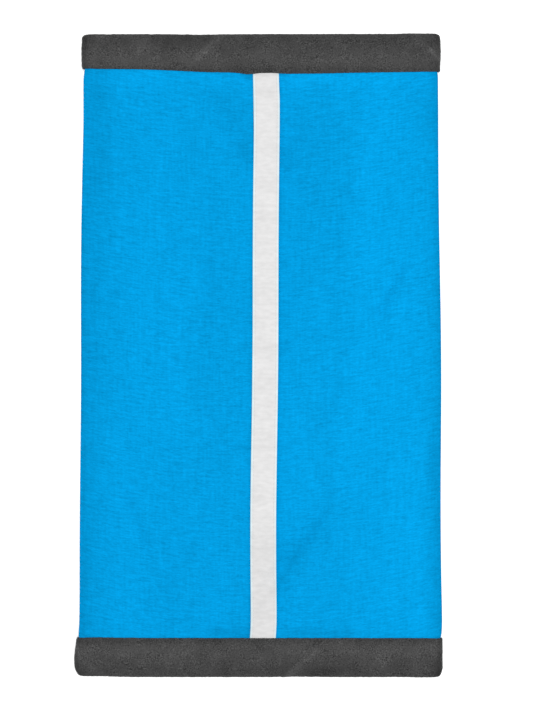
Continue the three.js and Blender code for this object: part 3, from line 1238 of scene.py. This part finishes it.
# %% [markdown]
# ## Threads
#
# Sewing thread is two or three plies twisted together. The twist shows as slanting bands, in its
# colour and in its relief, and all three threads share them as one node group.
#
# A stitch on the surface of a cloth is a short length of thread that dips in at both ends, so it
# reads as a small grain of rice. One long tube would look like piping. Each stitch is therefore a
# stretched sphere of a few faces, laid from hole to hole. A zigzag of them makes the flat seam that
# joins two butted edges.

# %% Shared effect: twisted plies
def make_twisted_plies():
    """The slanting bands of a thread: their height, and a factor that is darker between them."""
    tree, ins, outs = new_group(
        "Twisted plies",
        [("Vector", VECTOR), ("Scale", FLOAT), ("Amount", FLOAT)],
        [("Height", FLOAT), ("Factor", FLOAT)],
    )
    bands = add(tree, "ShaderNodeTexWave", {
        "Vector": ins.outputs["Vector"], "Scale": ins.outputs["Scale"],
        "Distortion": 2.0, "Detail": 1.0,
    }, bands_direction="DIAGONAL").outputs["Fac"]
    tree.links.new(bands, outs.inputs["Height"])
    tree.links.new(about(tree, bands, ins.outputs["Amount"]), outs.inputs["Factor"])
    return tree


twisted_plies = make_twisted_plies()
print("twisted plies nodes:", len(twisted_plies.nodes))

# %% Thread finishes
PLIES = {"Scale": 900.0, "Amount": 0.15}
WHITE_THREAD = (0.58, 0.58, 0.58)
BLUE_THREAD = (0.002, 0.26, 0.58)
CHARCOAL_THREAD = (0.042, 0.042, 0.042)


def thread(colour):
    """The finish of a thread of this colour."""
    def build(tree, shader):
        where = add(tree, "ShaderNodeTexCoord").outputs["Object"]
        plies = use(tree, twisted_plies, {"Vector": where, **PLIES})
        colour_by(tree, shader, colour, plies["Factor"])
        relief_by(tree, shader, plies["Height"], strength=0.5, distance=0.1 * MM)
        set_gloss(shader, roughness=0.75, gloss=0.1)
    return build


white_look = shade("white_thread", thread(WHITE_THREAD))
blue_look = shade("blue_thread", thread(BLUE_THREAD))
charcoal_look = shade("charcoal_thread", thread(CHARCOAL_THREAD))


# %% Sewing
GRAIN = {"u_segments": 6, "v_segments": 5, "radius": 1}         # one stitch, before it is stretched


def sew(name, stitches, width, nodes, material):
    """One piece out of many stitches, each from a start to an end."""
    whole, one = bmesh.new(), bpy.data.meshes.new("stitch")
    for start, end in stitches:
        start, end = Vector(start), Vector(end)
        heading = end - start
        turn = heading.to_track_quat("Z", "Y").to_matrix().to_4x4()
        grain = Matrix.Diagonal((width / 2, width / 2, heading.length / 2, 1))
        place = Matrix.Translation((start + end) / 2) @ turn @ grain
        stitch = bmesh.new()
        bmesh.ops.create_uvsphere(stitch, matrix=place, **GRAIN)
        stitch.to_mesh(one)
        stitch.free()
        whole.from_mesh(one)
    mesh = bpy.data.meshes.new(name)
    whole.to_mesh(mesh)
    whole.free()
    print(name, "stitches:", len(stitches))
    return new_object(name, mesh, nodes, material)


def pairs(points):
    """The start and end of every stitch along a row of points."""
    return list(zip(points[:-1], points[1:]))


# %% [markdown]
# A lockstitch machine holds the tape down with one row along each edge, in the grooves made above.
# The rows start and end just short of the cuffs, which are sewn on afterwards.

# %% Sew the tape down
STITCH = 2.6 * MM
STITCH_GAP = 0.5 * MM
ROW_STARTS, ROW_ENDS = 2 * MM, 4 * MM           # from the lower cuff, and from the upper one
TAPE_THREAD = 0.38 * MM
BEDDED = 0.05 * MM              # how far a stitch's middle stands above its groove


def stitch_row(across):
    """A row of lockstitches along the tape, at a distance across from its middle."""
    starts = np.arange(-cuff_edge + ROW_STARTS, cuff_edge - ROW_ENDS, STITCH + STITCH_GAP)
    ends = starts + STITCH
    out = tape_top - STITCH_DIP + BEDDED
    first = lay(tape_line(starts) + across, starts, np.full_like(starts, out))
    last = lay(tape_line(ends) + across, ends, np.full_like(starts, out))
    return list(zip(first, last))


for side, sign in (("left", -1), ("right", 1)):
    row = stitch_row(sign * stitch_line)
    sew("tape_row_" + side, row, TAPE_THREAD, ["tape_stitch_" + side], white_look)

# %% [markdown]
# ## Hidden seams
#
# Three kinds of seam lie out of sight, and a tube that is opened or turned inside out would show
# them. The shell's two edges, the lining's two edges and each cuff's two ends are butted and joined
# by a flat zigzag, which stays soft against the skin and stretches with the knit. A plain seam with
# its allowances folded back would be thicker than the cloth allows here.

# %% Sew the butted edges
SEAM_ENDS = 2 * MM              # how far short of the cloth's end a seam stops
SHELL_PITCH = 1.6 * MM          # from one crossing of the seam to the next
SHELL_REACH = 1.6 * MM          # and how far to each side it goes
SHELL_BEDDED = 0.1 * MM
SHELL_THREAD = 0.3 * MM
LINING_PITCH = 2 * MM
LINING_REACH = 2 * MM
FLEECE_THREAD = 0.35 * MM


def zigzag(middle, along, out, reach):
    """Points that cross from one side of a seam to the other and back."""
    side = np.where(np.arange(len(along)) % 2 == 0, -reach, reach)
    return list(lay(middle + side, along, out))


def seam_stations(end, pitch):
    """Where along the tube a seam's thread crosses it."""
    return np.arange(-end + SEAM_ENDS, end - SEAM_ENDS, pitch)


along = seam_stations(shell_end, SHELL_PITCH)
bedded = np.full_like(along, shell_outer - SHELL_BEDDED)
row = zigzag(tape_line(along), along, bedded, SHELL_REACH)
sew("shell_seam_stitches", pairs(row), SHELL_THREAD, ["shell_seam_thread"],
    blue_look)

along = seam_stations(lining_end, LINING_PITCH)
inside = np.full_like(along, lining_inner)
row = zigzag(half_girth(along), along, inside, LINING_REACH)
sew("lining_seam_stitches", pairs(row), FLEECE_THREAD, ["lining_seam_thread"],
    charcoal_look)

# %% Sew the cuffs' joins
JOIN_STEPS = (1.4 * MM, 3 * MM)
JOIN_REACH = 1.8 * MM
JOIN_STARTS, JOIN_ENDS = 1 * MM, 2 * MM         # from the cuff's edge, outside and inside
JOIN_BEDDED = {"outside": -0.2 * MM, "inside": 0.1 * MM}


def join_stitches(end):
    """A zigzag across a cuff's join, over its outer face, round the fold and back inside."""
    section = cuff_section(*JOIN_STEPS)

    def nearest(spot):
        return section.index(min(section, key=lambda point: math.dist(point, spot)))

    first = nearest((cuff_outer, cuff_edge + JOIN_STARTS))
    last = nearest((lining_inner, cuff_edge + JOIN_ENDS))
    out, along = np.array(section[first:last]).T
    along = end * along
    outside = out > (lining_inner + cuff_outer) / 2
    bedded = np.where(outside, JOIN_BEDDED["outside"], JOIN_BEDDED["inside"])
    return zigzag(half_girth(along), along, out + bedded, JOIN_REACH)


for name, end in (("upper", 1), ("lower", -1)):
    sew(name + "_cuff_join_stitches", pairs(join_stitches(end)), FLEECE_THREAD,
        [name + "_cuff_join_thread"], charcoal_look)

# %% [markdown]
# Cut jersey frays and curls, so its raw edge is overlocked before the cuff goes over it. An
# overlock's thread goes over the edge, round it and back, again and again. Three points for each
# turn, above, beyond and below the edge, make that coil.

# %% Overlock the shell's raw edges
TURN = 2.4 * MM                 # along the edge for each turn of the coil
COIL_ALONG = np.array([-1.8, 0.4, -1.8]) * MM   # from the raw edge, at the three points
COIL_OUT = np.array([0.38, 0.0, -0.38]) * MM    # and from the middle of the jersey
COIL_THREAD = 0.25 * MM


def overlock(end):
    """A coil of thread round the raw edge of the shell, inside a cuff."""
    girth = 2 * float(half_girth(np.array([end * shell_end]))[0])
    turns = int(girth / TURN)
    steps = np.arange(3 * turns)
    around = steps * girth / (3 * turns)
    along = end * (shell_end + COIL_ALONG[steps % 3])
    out = shell_middle + COIL_OUT[steps % 3]
    return list(lay(around, along, out))


for name, end in (("upper", 1), ("lower", -1)):
    sew(name + "_overlock_stitches", pairs(overlock(end)), COIL_THREAD,
        [name + "_edge_overlock"], blue_look)

# %% [markdown]
# ## Floor
#
# The gaiter lies on a plain white table. One large face is enough, because a soft light leaves no
# more than a faint shadow on it.

# %% Lay the floor
FLOOR_WHITE = 0.96
FLOOR_SIZE = 4


def white_floor(tree, shader):
    """Plain matt white."""
    shader.inputs["Base Color"].default_value = (FLOOR_WHITE, FLOOR_WHITE, FLOOR_WHITE, 1)
    set_gloss(shader, roughness=0.9, gloss=0.0)


def make_floor():
    """One large face at the height of the gaiter's underside."""
    bm = bmesh.new()
    bmesh.ops.create_grid(bm, x_segments=1, y_segments=1, size=FLOOR_SIZE)
    mesh = bpy.data.meshes.new("floor")
    bm.to_mesh(mesh)
    bm.free()
    floor = bpy.data.objects.new("floor", mesh)
    bpy.context.scene.collection.objects.link(floor)
    mesh.materials.append(shade("floor", white_floor))


make_floor()

# %% [markdown]
# ## Light
#
# A product table is lit by one large, soft source overhead and by white walls all round. A sun with
# a wide angle stands for the first, tipped a little to the right so that folds get a lit and a
# shaded side, and a white sky for the second. A bright sky would wash the folds out, and a dim one
# would leave a grey backdrop, so it is dim as a lamp and white where the camera looks at it. The
# plain view transform keeps the dyes' own colours.

# %% Light the table
KEY_FROM = (0.08, 0.0, 1)
KEY_SPREAD = 22                 # degrees
KEY_STRENGTH = 3.17
FILL, BACKDROP = 0.38, 1.0


def sun(name, place, spread, strength):
    """A sun that shines from a place towards the origin, with soft shadows for a wide spread."""
    data = bpy.data.lights.new(name, "SUN")
    data.angle, data.energy = math.radians(spread), strength
    light = bpy.data.objects.new(name, data)
    light.location = place
    light.rotation_euler = (-Vector(place)).to_track_quat("-Z", "Y").to_euler()
    bpy.context.scene.collection.objects.link(light)


def white_sky():
    """A white sky, weaker as a lamp than it looks."""
    world = bpy.data.worlds.new("studio")
    bpy.context.scene.world = world
    world.use_nodes = True
    sky = world.node_tree.nodes["Background"]
    sky.inputs["Color"].default_value = (1, 1, 1, 1)
    seen = add(world.node_tree, "ShaderNodeLightPath").outputs["Is Camera Ray"]
    glow = calc(world.node_tree, "MULTIPLY_ADD", seen, BACKDROP - FILL, FILL)
    world.node_tree.links.new(glow, sky.inputs["Strength"])


sun("key", KEY_FROM, KEY_SPREAD, KEY_STRENGTH)
white_sky()
bpy.context.scene.view_settings.view_transform = "Standard"
print("key light:", KEY_STRENGTH, "fill:", FILL)

# %% [markdown]
# ## Camera
#
# The camera looks straight down with a long lens, from so far that the thick cuffs and the thin
# body hardly differ in scale. Its height follows from how much of the table the picture takes in.

# %% Set the camera
LENS = 100
SENSOR = 36
VIEW_LENGTH = 552.9 * MM        # how much of the table the long side of the picture takes in
VIEW_MIDDLE = (4.5 * MM, -0.1 * MM)

camera_data = bpy.data.cameras.new("camera")
camera_data.lens, camera_data.sensor_width = LENS, SENSOR
camera = bpy.data.objects.new("camera", camera_data)
camera.location = (*VIEW_MIDDLE, middle_height + VIEW_LENGTH * LENS / SENSOR)
bpy.context.scene.collection.objects.link(camera)
bpy.context.scene.camera = camera
print("camera height, m:", round(camera.location.z, 3))
